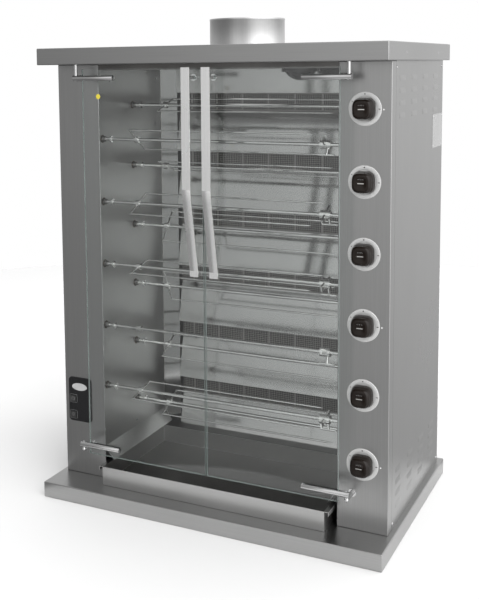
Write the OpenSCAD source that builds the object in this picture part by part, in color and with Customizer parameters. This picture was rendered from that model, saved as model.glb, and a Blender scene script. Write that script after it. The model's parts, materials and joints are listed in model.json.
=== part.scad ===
// Upright gas rotisserie oven with two glass doors and a zigzag of turning spits.
// Millimetres, +Z up. Origin: centre of the footprint, on the floor. The front faces -Y.

/* [Cabinet] */
// Width of the base and of the cap
overall_w = 865; // [850:1:1040]
// Depth of the base, front to back
base_d = 582; // [574:2:700]
// Height of the base
base_h = 39; // [30:1:60]
// Height of the columns between base and cap
body_h = 1041; // [1030:1:1260]
// Height of the cap
cap_h = 40; // [30:1:60]
// How far the cap and base stand out past the columns at each side
side_overhang = 12.5; // [8:0.5:20]
// How far the columns stand back from the front of the base
front_setback = 89; // [86:1:110]
// How far the cap stands back from the front of the base
cap_setback = 16; // [8:1:24]
// How far the rear cover stands in from the back of the base
rear_setback = 22; // [18:1:30]
// Width of each column
column_w = 116.5; // [110:0.5:140]
// Sheet thickness of the covers
sheet_t = 1.5; // [1:0.1:2]
// Outside radius of the flue collar
flue_r = 92; // [70:1:98]
// Height of the flue collar above the cap
flue_h = 67; // [40:1:120]
// How far the flue's middle is in front of the hood edges
flue_in = 114; // [106:1:130]

/* [Spits] */
// Spits in the rear row, one level with each burner
rear_spits = 6; // [6:1:6]
// Spacing of the spits in one row
spit_pitch = 155.4; // [150:0.1:156]
// How far the top spit hangs below the cavity ceiling
top_spit_drop = 90; // [80:1:96]
// How far the front row is from the column fronts
front_row_in = 16; // [16:0.5:20]
// Distance between the two rows
row_gap = 150; // [140:1:156]
// Radius of a spit rod
rod_r = 4; // [3.5:0.1:5]
// Half the distance between the two tines of a fork
fork_half = 44; // [34:1:46]
// Radius of a tine
tine_r = 2; // [1.5:0.1:2.5]
// Clearance of a shaft in its bush
running_clearance = 0.05; // [0.02:0.01:0.09]

/* [Drive] */
// Teeth of a sprocket
sprocket_teeth = 8; // [7:1:8]
// Pitch of the chain
chain_pitch = 8; // [6.4:0.1:8]
// Radius of a drive shaft
shaft_r = 7; // [6.5:0.1:8.4]

/* [Burners] */
// Spacing of the burners and of their knobs
burner_pitch = 157.1; // [150:0.1:158]
// How far the middle of the top burner is below the cavity ceiling
top_burner_drop = 87.7; // [80:0.1:92]
// Depth of the cavity from the column fronts to the hood edges
cavity_d = 324; // [320:1:330]
// Height of a burner face
burner_h = 46; // [36:1:50]
// Radius of a knob
knob_r = 25; // [18:1:28]
// Outside radius of a knob bezel
bezel_r = 36.5; // [32:0.5:42]

/* [Doors] */
// Thickness of the door glass
glass_t = 6; // [4:0.5:8]
// How far the glass stands in front of the columns
glass_out = 43.5; // [40:0.5:50]
// Gap between the two doors
door_gap = 4; // [3:0.5:8]
// Gap between the tray and the bottom of the glass
glass_low_gap = 31; // [26:1:60]
// Gap between the glass and the cap
glass_top_gap = 10; // [6:1:16]
// Radius of a hinge clamp bar
clamp_r = 7; // [6:0.5:9]
// Radius of a hinge pin
pin_r = 4; // [3:0.5:4.5]
// Width of a handle strip
handle_w = 21; // [16:1:30]
// How far a handle stands off the glass
handle_out = 38; // [30:1:42]

/* [Drip tray] */
// How far a side of the tray is from the cavity wall above it
tray_side_gap = 16; // [13:1:22]
// Height of the tray
tray_h = 46.7; // [36:0.1:56]
// Depth of the tray
tray_d = 323.5; // [280:0.5:330]

/* [Controls] */
// Width of the switch panel
panel_w = 67; // [50:1:80]
// Height of the switch panel
panel_h = 114.5; // [90:0.5:140]
// Side of a push button
button_w = 15; // [10:1:20]
// Travel of a push button
button_travel = 2; // [1:0.1:2.5]

/* [Hidden] */
$fn = 48;
eps = 0.01;
fit = 0.3; // gap between pieces that move past each other
joint_gap = 0.1; // gap between fixed sheets that would otherwise share a face

front_edge = -base_d / 2;
body_top = base_h + body_h;
body_w = overall_w - 2 * side_overhang;
body_front = front_edge + front_setback;
body_rear = base_d / 2 - rear_setback;
cap_front = front_edge + cap_setback;
opening = body_w / 2 - column_w; // half the width of the cavity
column_x = opening + column_w / 2;
column_return = 32; // how far a column front wraps round the side
lining_y = body_front + sheet_t + joint_gap; // front edge of the cavity's walls and ceiling

wall_x = opening + 0.5; // cavity face of an inner wall
tray_z = base_h + fit;
tray_half_w = wall_x - tray_side_gap;
ceiling_z = body_top - 14;
foot_top = base_h + 83; // fold of the sloping foot of an inner wall
foot_bottom = base_h + tray_h + 3;
foot_in = 24;
hood_y = body_front + cavity_d; // front edge of each hood
hood_deep = 24; // how far a hood edge stands in front of its burner
face_y = hood_y + hood_deep;
flue_y = hood_y - flue_in;
burner_end_gap = 45.5; // from an end of a burner to the edge of the opening
burner_half_w = opening - burner_end_gap;
corner_half_w = burner_half_w + 4; // inner edge of the slanted corner strips
housing_d = 57;
hood_low = burner_h / 2 + 1; // from a burner's middle to the hood above it
back_low = base_h + 25; // lowest edge of the back panels

front_row_y = body_front + front_row_in;
rear_row_y = front_row_y + row_gap;
spit_count = 2 * rear_spits - 1;
fork_turn = [18, -35, -20, 27, 50, 11, -65, -17, 30, 12, 27];
function spit_y(i) = i % 2 == 0 ? rear_row_y : front_row_y;
function spit_z(i) = ceiling_z - top_spit_drop - i * spit_pitch / 2;
function burner_z(k) = ceiling_z - top_burner_drop - k * burner_pitch;

socket_end = wall_x - 8; // cavity end of a drive shaft, as a distance from the middle
socket_deep = 20;
collar_x = wall_x - 24;
boss_x = wall_x - 97;
tine_end = wall_x - 64;
clamp_x = wall_x - 34;
rod_tip = wall_x + 10;

sprocket_x = wall_x + 48; // distance of the chain plane from the middle
sprocket_t = 3.2;
sprocket_r = chain_pitch / 2 / sin(180 / sprocket_teeth);
tooth_out = 0.22 * chain_pitch;
tooth_in = 0.3 * chain_pitch;
link_half = 3.5; // half the height of a chain link plate
link_t = 1;
roller_r = 2.4;
roller_w = 4.6;
motor_y = rear_row_y + 96.5;
motor_z = base_h + 71;
stub_r = 5; // outer end of a drive shaft, where it carries its sprocket
bush_len = 15;
bush_wall = 3;
bush_rim = 2.4; // how far the flange of a bush stands out

pin_x = opening + 36;
glass_y = body_front - glass_out; // middle of the glass, and the hinge axis
glass_top = body_top - glass_top_gap;
glass_bottom = tray_z + tray_h + glass_low_gap;
glass_edge = pin_x - 18.5;
clamp_inner = pin_x - 103.5;
clamp_outer = pin_x + 7;
clamp_drop = 22.5;
low_clamp_z = glass_bottom + 20;
top_clamp_z = glass_top - clamp_drop;
arm_r = 5; // lower hinge arm
arm_ball_r = arm_r + 0.3; // ball end that carries the door
shelf_z = low_clamp_z - clamp_r - fit - arm_ball_r; // height of the lower hinge arm

handle_x = door_gap / 2 + 23;
handle_t = 3;
handle_top = glass_top + 1;
handle_straight = 270;
handle_leg = 211;
handle_foot = 14;
stud_drop = 23;

tray_front = body_front - 41.5;
tray_rim = 10;

panel_x = column_x + 13.5;
panel_z = base_h + 193.3;
panel_t = 2.5;
button_dx = 19.5;
upper_button_z = panel_z + 1.5;
lower_button_z = panel_z - 40;
lamp_r = 46;
lamp_pos = [flue_r + lamp_r + 1, flue_y]; // beside the flue sleeve

vent_w = 46;
vent_h = 5;
vent_col_gap = 103;
vent_row_gap = 27.2;

manifold_y = body_front + 52;
manifold_r = 8;
valve_y = body_front + 12;
valve_w = 26;
feed_r = 4;
feed_x = column_x - valve_w / 2 - 11;
feed_y = face_y + 30;
spindle_r = 3;
spindle_deep = 12;
bezel_t = 2;
knob_base = bezel_t + 1; // from the column to the back of a knob
inlet_r = 10.5;
inlet_z = base_h + 61;
inlet_y = body_rear - 10; // where the manifold meets the inlet nipple
inlet_end = base_d / 2 - 2;
gland_r = 10;
gland_pos = [-opening - 40, base_h + 60];

spit_nodes = [for (i = [1:spit_count]) str("spit_", i)];
sprocket_nodes = [for (i = [1:spit_count]) str("spit_sprocket_", i)];
knob_nodes = [for (k = [1:rear_spits]) str("burner_knob_", k)];

// ---------- shapes used by several pieces ----------

// Box given by its two corners.
module block(a, b) {
    translate(a) cube(b - a);
}

// Round bar along X, Y or Z between two places on its axis.
module bar_x(r, x0, x1, y = 0, z = 0) {
    translate([x0, y, z]) rotate([0, 90, 0]) cylinder(r = r, h = x1 - x0);
}
module bar_y(r, y0, y1, x = 0, z = 0) {
    translate([x, y0, z]) rotate([-90, 0, 0]) cylinder(r = r, h = y1 - y0);
}
module bar_z(r, z0, z1, x = 0, y = 0) {
    translate([x, y, z0]) cylinder(r = r, h = z1 - z0);
}

// Rectangle with round corners, centred.
module round_rect(w, h, r) {
    square([w - 2 * r, h], center = true);
    square([w, h - 2 * r], center = true);
    for (x = [-1, 1], y = [-1, 1])
        translate([x * (w / 2 - r), y * (h / 2 - r)]) circle(r);
}

// Plate in the XZ plane, from a flat outline drawn in x and z.
module plate_xz(y0, y1) {
    translate([0, y1, 0]) rotate([90, 0, 0]) linear_extrude(y1 - y0) children();
}

// Prism along X, from a flat outline drawn in y and z.
module prism_x(x0, x1) {
    translate([x0, 0, 0]) rotate([90, 0, 90]) linear_extrude(x1 - x0) children();
}

// ---------- base, cap and covers ----------

module base_plate() {
    color("silver") difference() {
        block([-overall_w / 2, -base_d / 2, 0], [overall_w / 2, base_d / 2, base_h]);
        block([-overall_w / 2 + sheet_t, -base_d / 2 + sheet_t, sheet_t],
            [overall_w / 2 - sheet_t, base_d / 2 - sheet_t, base_h - sheet_t]);
        block([-overall_w / 2 + 40, -base_d / 2 + 40, -1],
            [overall_w / 2 - 40, base_d / 2 - 40, sheet_t + 1]);
    }
}

module top_cap() {
    half = overall_w / 2;
    color("silver") difference() {
        block([-half, cap_front, body_top], [half, base_d / 2, body_top + cap_h]);
        block([-half + sheet_t, cap_front + sheet_t, body_top + sheet_t],
            [half - sheet_t, base_d / 2 - sheet_t, body_top + cap_h - sheet_t]);
        block([-opening, body_front + 10, body_top - 1],
            [opening, body_rear - 10, body_top + sheet_t + 1]);
        bar_z(flue_r, body_top + cap_h - sheet_t - 1, body_top + cap_h + 1, 0, flue_y);
        for (s = [-1, 1])
            bar_z(pin_r + joint_gap, body_top - 1, body_top + sheet_t + 1, s * pin_x, glass_y);
    }
}

module flue_collar() {
    z = body_top + cap_h;
    color("lightgray") translate([0, flue_y, 0]) difference() {
        union() {
            bar_z(flue_r - joint_gap, z, z + flue_h);
            bar_z(flue_r + 14, z, z + sheet_t);
            bar_z(flue_r - joint_gap - 1, ceiling_z + sheet_t, z + 1);
        }
        bar_z(flue_r - joint_gap - sheet_t, z + 1, z + flue_h + 1);
        bar_z(flue_r - joint_gap - 1 - sheet_t, ceiling_z, z + 2);
    }
}

// Front cover of a column: a folded sheet that wraps round the side.
module column_cover() {
    x0 = opening;
    x1 = body_w / 2;
    y0 = body_front;
    block([x0, y0, base_h], [x1, y0 + sheet_t, body_top]);
    block([x1 - sheet_t, y0, base_h], [x1, y0 + column_return, body_top]);
}

// Hole for one push button, through the switch panel and the column behind it.
module button_hole(z) {
    block([-panel_x - button_dx - button_w / 2 - fit, body_front - 10, z - button_w / 2 - fit],
        [-panel_x - button_dx + button_w / 2 + fit, body_front + 10, z + button_w / 2 + fit]);
}

module left_column() {
    color("darkgray") difference() {
        mirror([1, 0, 0]) column_cover();
        button_hole(upper_button_z);
        button_hole(lower_button_z);
    }
}

module right_column() {
    color("darkgray") difference() {
        column_cover();
        for (k = [0:rear_spits - 1])
            bar_y(spindle_r + 2, body_front - 1, body_front + sheet_t + 1, column_x, burner_z(k));
    }
}

// Vent slots of a side panel: two groups of four by four.
module vents() {
    for (z = [base_h + 44, ceiling_z - 107], row = [0:3], col = [0:3])
        translate([body_front + 83 + col * vent_col_gap, z + row * vent_row_gap])
            round_rect(vent_w, vent_h, vent_h / 2 - eps);
}

module side_panel() {
    y0 = body_front + column_return + joint_gap;
    difference() {
        block([body_w / 2 - sheet_t, y0, base_h], [body_w / 2, body_rear - sheet_t, body_top]);
        prism_x(body_w / 2 - sheet_t - 1, body_w / 2 + 1) vents();
    }
}
module left_side_panel() {
    color("silver") mirror([1, 0, 0]) side_panel();
}
module right_side_panel() {
    color("silver") side_panel();
}

module rear_cover() {
    y0 = body_rear - sheet_t;
    color("silver") {
        difference() {
            block([-body_w / 2, y0, base_h], [body_w / 2, body_rear, body_top]);
            bar_y(inlet_r - 1 + joint_gap, y0 - 1, body_rear + 1, column_x, inlet_z);
            bar_y(gland_r, y0 - 1, body_rear + 1, gland_pos.x, gland_pos.y);
            for (x = [-1:1], row = [0:5])
                plate_xz(y0 - 1, body_rear + 1)
                    translate([x * 150, body_top - 70 - row * vent_row_gap])
                        round_rect(90, vent_h, vent_h / 2 - eps);
        }
        // gland for the mains lead
        translate([gland_pos.x, 0, gland_pos.y]) difference() {
            union() {
                bar_y(gland_r - joint_gap, y0 - 8, body_rear + 2);
                bar_y(gland_r + 3, body_rear, body_rear + 8);
                bar_y(gland_r - 2, body_rear + 8, body_rear + 16);
            }
            bar_y(4, y0 - 9, body_rear + 17);
        }
        // gas inlet: a nipple with a flange, screwed to the end of the manifold
        translate([column_x, 0, inlet_z]) difference() {
            union() {
                bar_y(inlet_r - 1, inlet_y + joint_gap, body_rear + 1);
                bar_y(inlet_r, body_rear, inlet_end);
                bar_y(inlet_r + 6, body_rear, body_rear + 3);
            }
            bar_y(inlet_r - 3, inlet_y, inlet_end + 1);
        }
    }
}

// ---------- cavity ----------

// Wall of the cavity: a sheet with a sloping foot that sheds fat into the tray.
module inner_wall(hole_r) {
    x0 = wall_x;
    y0 = lining_y;
    y1 = hood_y - 5;
    difference() {
        translate([0, y1, 0]) rotate([90, 0, 0]) linear_extrude(y1 - y0) polygon([
            [x0, ceiling_z], [x0 + sheet_t, ceiling_z], [x0 + sheet_t, foot_top],
            [x0 - foot_in + sheet_t, foot_bottom], [x0 - foot_in, foot_bottom],
            [x0, foot_top]]);
        for (i = [0:spit_count - 1])
            bar_x(hole_r, x0 - 1, x0 + sheet_t + 1, spit_y(i), spit_z(i));
    }
}
module left_inner_wall() {
    color("gray") mirror([1, 0, 0]) inner_wall(shaft_r + bush_wall);
}
module right_inner_wall() {
    color("gray") inner_wall(rod_r + bush_wall);
}

module cavity_ceiling() {
    y0 = lining_y;
    color("gray") difference() {
        union() {
            block([-wall_x - sheet_t, y0, ceiling_z], [wall_x + sheet_t, face_y, ceiling_z + sheet_t]);
            block([-opening + joint_gap, y0, ceiling_z], [opening - joint_gap, y0 + sheet_t, body_top]);
        }
        bar_z(flue_r - 8, ceiling_z - 1, ceiling_z + sheet_t + 1, 0, flue_y);
        bar_z(lamp_r - 8, ceiling_z - 1, ceiling_z + sheet_t + 1, lamp_pos.x, lamp_pos.y);
    }
}

module oven_lamp() {
    color("black") translate([lamp_pos.x, lamp_pos.y, 0]) {
        difference() {
            bar_z(lamp_r, ceiling_z - 9, ceiling_z);
            bar_z(lamp_r - 8, ceiling_z - 10, ceiling_z + 1);
        }
        intersection() {
            translate([0, 0, ceiling_z + 14]) sphere(r = lamp_r - 2, $fn = 64);
            bar_z(lamp_r - 8 - joint_gap, ceiling_z - 40, ceiling_z + 12);
        }
    }
}

// One hood panel: leans forward from the burner above to an edge over the burner below.
module hood_panel(z_top, z_low, y_top) {
    prism_x(-burner_half_w, burner_half_w) polygon([
        [y_top, z_top], [y_top + sheet_t, z_top],
        [hood_y + sheet_t, z_low + sheet_t], [face_y - 1, z_low + sheet_t],
        [face_y - 1, z_low], [hood_y, z_low]]);
}
module back_reflector() {
    color("lightgray") {
        hood_panel(ceiling_z, burner_z(0) + hood_low, hood_y);
        for (k = [0:rear_spits - 2])
            hood_panel(burner_z(k) - hood_low, burner_z(k + 1) + hood_low, face_y);
        z_last = burner_z(rear_spits - 1) - hood_low;
        prism_x(-burner_half_w, burner_half_w) polygon([
            [face_y, z_last], [face_y + sheet_t, z_last],
            [hood_y + sheet_t, back_low], [hood_y, back_low]]);
        for (s = [-1, 1]) translate([0, 0, back_low]) linear_extrude(ceiling_z - back_low) polygon([
            [s * corner_half_w, hood_y + 12], [s * corner_half_w, hood_y + 12 + sheet_t],
            [s * (wall_x + sheet_t), hood_y - 4 + sheet_t], [s * (wall_x + sheet_t), hood_y - 4]]);
    }
}

module burner_housings() {
    color("dimgray") for (k = [0:rear_spits - 1]) translate([0, 0, burner_z(k)]) difference() {
        block([-burner_half_w, face_y + 2, -burner_h / 2], [burner_half_w, face_y + housing_d, burner_h / 2]);
        block([-burner_half_w + 2, face_y + 1, -burner_h / 2 + 2],
            [burner_half_w - 2, face_y + housing_d - 2, burner_h / 2 - 2]);
    }
}

module burner_meshes() {
    color("dimgray") for (k = [0:rear_spits - 1]) translate([0, 0, burner_z(k)])
        block([-burner_half_w, face_y, -burner_h / 2], [burner_half_w, face_y + 2, burner_h / 2]);
}

// ---------- gas side ----------

module gas_manifold() {
    color("goldenrod") {
        difference() {
            union() {
                bar_z(manifold_r, inlet_z, burner_z(0) + 20, column_x, manifold_y);
                bar_y(inlet_r, manifold_y, inlet_y, column_x, inlet_z);
                for (k = [0:rear_spits - 1]) translate([0, 0, burner_z(k)]) {
                    block([column_x - valve_w / 2, valve_y, -valve_w / 2],
                        [column_x + valve_w / 2, manifold_y, valve_w / 2]);
                    // feed pipe: out of the valve, back along the wall, then in to the burner
                    bar_x(feed_r, feed_x, column_x, manifold_y - 18);
                    bar_y(feed_r, manifold_y - 18, feed_y, feed_x);
                    bar_x(feed_r, burner_half_w, feed_x, feed_y);
                    for (y = [manifold_y - 18, feed_y])
                        translate([feed_x, y, 0]) sphere(feed_r + 2.5);
                }
            }
            for (k = [0:rear_spits - 1])
                bar_y(spindle_r + running_clearance, valve_y - 1, valve_y + spindle_deep + 1,
                    column_x, burner_z(k));
            bar_y(inlet_r - 3, inlet_y - 30, inlet_y + 1, column_x, inlet_z);
        }
    }
}

module knob_bezels() {
    color("lightgray") for (k = [0:rear_spits - 1]) difference() {
        bar_y(bezel_r, body_front - bezel_t, body_front, column_x, burner_z(k));
        bar_y(spindle_r + 2, body_front - bezel_t - 1, body_front + 1, column_x, burner_z(k));
    }
}

// A knob is a round skirt and a domed grip with flattened sides, on a spindle.
module burner_knob(k) {
    color("#2a201c") translate([column_x, body_front, burner_z(k)]) {
        bar_y(knob_r, -knob_base - 5, -knob_base);
        intersection() {
            translate([0, -knob_base - 4, 0]) rotate([90, 0, 0]) rotate_extrude()
                polygon(concat([[0, 0], [knob_r - 1.5, 0]],
                    [for (a = [0:15:90]) [knob_r - 9 + 6 * cos(a), 16 + 6 * sin(a)]],
                    [[0, 23.5]]));
            plate_xz(-knob_base - 40, -knob_base) round_rect(knob_r * 1.72, knob_r * 1.72, knob_r * 0.4);
        }
        bar_y(spindle_r, -knob_base - 4, valve_y - body_front + spindle_deep);
    }
}

// ---------- switches ----------

module control_panel() {
    color("#202020") difference() {
        translate([-panel_x, 0, panel_z])
            plate_xz(body_front - panel_t, body_front) round_rect(panel_w, panel_h, 9);
        button_hole(upper_button_z);
        button_hole(lower_button_z);
    }
}
module push_button(z) {
    translate([-panel_x - button_dx, 0, z]) {
        plate_xz(body_front - panel_t - button_travel - 0.5, body_front + 8)
            round_rect(button_w, button_w, 1.5);
        block([-button_w / 2 - 3, body_front + 8, -button_w / 2 - 3],
            [button_w / 2 + 3, body_front + 10, button_w / 2 + 3]);
    }
}
module motor_button() {
    color("#333333") push_button(upper_button_z);
}
module lamp_button() {
    color("#333333") push_button(lower_button_z);
}

// ---------- spits and their drive ----------

// Rod, fork and clamp of one spit, along X. The fork is turned to its resting angle.
module spit(i) {
    color("silver") translate([0, spit_y(i), spit_z(i)]) {
        bar_x(rod_r, -socket_end - socket_deep + 2, rod_tip);
        difference() {
            bar_x(rod_r + 4, -collar_x, -collar_x + 3);
            bar_x(rod_r - eps, -collar_x - 1, -collar_x + 4);
        }
        rotate([fork_turn[i], 0, 0]) {
            difference() {
                bar_x(rod_r + 4, -boss_x - 5, -boss_x + 5);
                bar_x(rod_r + running_clearance, -boss_x - 6, -boss_x + 6);
            }
            for (s = [-1, 1]) {
                bar_y(tine_r, min(s * fork_half, s * (rod_r + 3)), max(s * fork_half, s * (rod_r + 3)), -boss_x);
                translate([-boss_x, s * fork_half, 0]) sphere(tine_r);
                bar_x(tine_r, -boss_x, tine_end, s * fork_half);
                translate([tine_end, s * fork_half, 0]) rotate([0, 90, 0])
                    cylinder(r1 = tine_r, r2 = 0.3, h = 10);
            }
            difference() {
                union() {
                    bar_x(rod_r + 6, clamp_x - 12, clamp_x + 12);
                    block([clamp_x - 2, -fork_half + 14, -6], [clamp_x + 2, fork_half - 14, 6]);
                }
                bar_x(rod_r + running_clearance, clamp_x - 13, clamp_x + 13);
            }
            // wing screw
            bar_z(3, -rod_r - 22, -rod_r - 5.5, clamp_x + 6);
            bar_x(2.5, clamp_x - 12, clamp_x + 24, 0, -rod_r - 22);
        }
    }
}

// Flat outline of a sprocket, in y and z.
module sprocket_outline() {
    step = 360 / sprocket_teeth;
    polygon([for (t = [0:sprocket_teeth - 1], p = [
        [-0.25, -tooth_in], [-0.1, tooth_out], [0.1, tooth_out], [0.25, -tooth_in]])
        (sprocket_r + p[1]) * [cos(step * (t + p[0])), sin(step * (t + p[0]))]]);
}

module spit_sprocket(i) {
    color("dimgray") translate([0, spit_y(i), spit_z(i)]) difference() {
        union() {
            prism_x(-sprocket_x - sprocket_t / 2, -sprocket_x + sprocket_t / 2) sprocket_outline();
            bar_x(stub_r, -sprocket_x - 6, -wall_x - bush_len - 2);
            bar_x(shaft_r + 2, -wall_x - bush_len - 4, -wall_x - bush_len - fit);
            bar_x(shaft_r, -wall_x - bush_len - 3, -socket_end);
        }
        bar_x(rod_r + running_clearance, -socket_end - socket_deep, -socket_end + 1);
    }
}

module spit_bushes() {
    color("peru") for (i = [0:spit_count - 1]) translate([0, spit_y(i), spit_z(i)]) {
        difference() {
            union() {
                bar_x(shaft_r + bush_wall - joint_gap, -wall_x - bush_len, -wall_x);
                bar_x(shaft_r + bush_wall + bush_rim, -wall_x - sheet_t - 4, -wall_x - sheet_t);
            }
            bar_x(shaft_r + running_clearance, -wall_x - bush_len - 1, -wall_x + 1);
        }
        difference() {
            union() {
                bar_x(rod_r + bush_wall - joint_gap, wall_x, wall_x + bush_len);
                bar_x(rod_r + bush_wall + bush_rim, wall_x + sheet_t, wall_x + sheet_t + 4);
            }
            bar_x(rod_r + running_clearance, wall_x - 1, wall_x + bush_len + 1);
        }
    }
}

module motor_sprocket() {
    color("dimgray") translate([0, motor_y, motor_z]) {
        prism_x(-sprocket_x - sprocket_t / 2, -sprocket_x + sprocket_t / 2) sprocket_outline();
        bar_x(stub_r, -sprocket_x - 30, -sprocket_x + 6);
    }
}

module gearmotor() {
    x1 = -sprocket_x - 12;
    x0 = x1 - 44;
    color("slategray") difference() {
        union() {
            block([x0, motor_y - 45, motor_z - 40], [x1, motor_y + 45, motor_z + 45]);
            bar_y(21, motor_y + 45 - eps, motor_y + 150, (x0 + x1) / 2, motor_z);
            block([x0, motor_y - 45, base_h], [x1, motor_y + 45, motor_z - 40 + eps]);
        }
        bar_x(stub_r + running_clearance, -sprocket_x - 31, x1 + 1, motor_y, motor_z);
    }
}

// The chain passes the wheels in this order. Each entry is [y, z, sense]: +1 runs down the
// front of the wheel, -1 down its back.
chain_wheels = concat(
    [for (i = [0:spit_count - 1]) [spit_y(i), spit_z(i), i == 0 || i % 2 == 1 ? 1 : -1]],
    [[motor_y, motor_z, 1]]);
wheel_count = len(chain_wheels);
function wheel(i) = chain_wheels[(i + wheel_count) % wheel_count];

// Angle of the run from wheel a to wheel b.
function run_heading(a, b) =
    let (d = [b.x - a.x, b.y - a.y], span = norm(d), straight = atan2(d.y, d.x))
    straight + (a.z == b.z ? 0 : asin((a.z - b.z) * sprocket_r / span));
// Point where a run of that heading touches wheel w.
function touch(w, heading) =
    [w.x, w.y] + w.z * sprocket_r * [sin(heading), -cos(heading)];
// Arc round wheel i, from the run that arrives to the run that leaves.
function wrap(i) =
    let (w = wheel(i), h0 = run_heading(wheel(i - 1), w), h1 = run_heading(w, wheel(i + 1)),
        turn = w.z * ((w.z * (h1 - h0) + 720) % 360), steps = max(2, ceil(abs(turn) / 15)))
    [for (s = [0:steps]) [touch(w, h0 + turn * s / steps), h0 + turn * s / steps]];
chain_line = [for (i = [0:wheel_count - 1]) each wrap(i)];

module chain_band() {
    outer = [for (p = chain_line) p[0] + link_half * [sin(p[1]), -cos(p[1])]];
    inner = [for (p = chain_line) p[0] - link_half * [sin(p[1]), -cos(p[1])]];
    difference() {
        polygon(outer);
        polygon(inner);
    }
}
module drive_chain() {
    x = -sprocket_x;
    color("dimgray") {
        for (s = [-1, 1])
            prism_x(x + s * (roller_w + link_t) / 2 - link_t / 2, x + s * (roller_w + link_t) / 2 + link_t / 2)
                chain_band();
        // rollers, along the runs clear of the wheels
        for (i = [0:wheel_count - 1]) {
            h = run_heading(wheel(i), wheel(i + 1));
            p0 = touch(wheel(i), h);
            p1 = touch(wheel(i + 1), h);
            run = norm(p1 - p0);
            n = floor((run - 3 * sprocket_r) / chain_pitch);
            for (r = [0:n]) {
                p = p0 + (p1 - p0) * ((run - n * chain_pitch) / 2 + r * chain_pitch) / run;
                bar_x(roller_r, x - roller_w / 2 - eps, x + roller_w / 2 + eps, p.x, p.y);
            }
        }
    }
}

// ---------- doors ----------

module hinge_pins() {
    color("silver") for (s = [-1, 1]) {
        bar_z(pin_r, top_clamp_z - clamp_r + 2, body_top + 20, s * pin_x, glass_y);
        bar_z(pin_r + 3, body_top + sheet_t, body_top + sheet_t + 5, s * pin_x, glass_y);
        bar_y(arm_r, glass_y, body_front, s * pin_x, shelf_z);
        translate([s * pin_x, glass_y, shelf_z]) sphere(arm_ball_r);
        bar_z(pin_r, shelf_z, low_clamp_z + clamp_r - 2, s * pin_x, glass_y);
        bar_y(9, body_front - 2, body_front, s * pin_x, shelf_z);
    }
}

module door_glass() {
    color([0.7, 0.8, 0.8, 0.35]) difference() {
        block([door_gap / 2, glass_y - glass_t / 2, glass_bottom], [glass_edge, glass_y + glass_t / 2, glass_top]);
        for (z = [handle_top - stud_drop, handle_top - handle_straight - handle_leg + handle_foot / 2])
            bar_y(4 + joint_gap, glass_y - glass_t, glass_y + glass_t, handle_x, z);
    }
}
module left_door_glass() {
    mirror([1, 0, 0]) door_glass();
}
module right_door_glass() {
    door_glass();
}

// Hinge bars of one door: slotted to grip the glass, bored for the pins.
module door_clamps() {
    color("silver") for (z = [low_clamp_z, top_clamp_z]) difference() {
        bar_x(clamp_r, clamp_inner, clamp_outer, glass_y, z);
        block([clamp_inner - 1, glass_y - glass_t / 2 - joint_gap, z - clamp_r - 1],
            [glass_edge + joint_gap, glass_y + glass_t / 2 + joint_gap, z + clamp_r + 1]);
        bar_z(pin_r + running_clearance, z - clamp_r - 1, z + clamp_r + 1, pin_x, glass_y);
    }
}
module left_door_clamps() {
    mirror([1, 0, 0]) door_clamps();
}
module right_door_clamps() {
    door_clamps();
}

// Handle: a strip that hangs straight, then leans in to the glass, with studs and nuts.
module door_handle() {
    y_glass = glass_y - glass_t / 2;
    y_out = y_glass - handle_out;
    z_bend = handle_top - handle_straight;
    z_foot = z_bend - handle_leg + handle_foot;
    bend = 40;
    // centre of the strip at each height: straight, a soft bend, then a sloping leg
    function lean(z) = z >= z_bend ? 0 : z_bend - z < bend
        ? pow(z_bend - z, 2) / (2 * bend) : z_bend - z - bend / 2;
    reach = lean(z_foot);
    function strip_y(z) = y_out + (handle_out - handle_t) * lean(z) / reach;
    heights = concat([handle_top], [for (s = [0:8]) z_bend - s * bend / 8], [z_foot, z_foot - handle_foot]);
    line = [for (n = [0:len(heights) - 1]) let (z = heights[n])
        [n == len(heights) - 1 ? strip_y(z_foot) : strip_y(z), z]];
    color("gainsboro") {
        translate([handle_x - handle_w / 2, 0, 0]) prism_x(0, handle_w) polygon(concat(
            line, [for (n = [len(line) - 1:-1:0]) line[n] + [handle_t, 0]]));
        for (z = [handle_top - stud_drop, z_foot - handle_foot / 2]) {
            stud_front = z > z_bend ? y_out + handle_t - eps : y_glass - eps;
            bar_y(4, stud_front, glass_y + glass_t / 2 + 4, handle_x, z);
            difference() {
                bar_y(8, glass_y + glass_t / 2, glass_y + glass_t / 2 + 4, handle_x, z);
                bar_y(4 - eps, glass_y, glass_y + glass_t / 2 + 5, handle_x, z);
            }
        }
    }
}
module left_door_handle() {
    mirror([1, 0, 0]) door_handle();
}
module right_door_handle() {
    door_handle();
}

// ---------- drip tray ----------

module drip_tray() {
    w = tray_half_w;
    y1 = tray_front + tray_d;
    z1 = tray_z + tray_h;
    color("silver") {
        difference() {
            block([-w, tray_front, tray_z], [w, y1, z1]);
            block([-w + sheet_t, tray_front + sheet_t, tray_z + sheet_t], [w - sheet_t, y1 - sheet_t, z1 + 1]);
        }
        for (s = [-1, 1]) {
            block([min(s * w, s * (w + tray_rim)), tray_front, z1 - sheet_t],
                [max(s * w, s * (w + tray_rim)), y1, z1]);
            block([min(s * (w + tray_rim - sheet_t), s * (w + tray_rim)), tray_front, z1 - tray_rim],
                [max(s * (w + tray_rim - sheet_t), s * (w + tray_rim)), y1, z1]);
        }
    }
}

// ---------- what is drawn ----------

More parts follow.
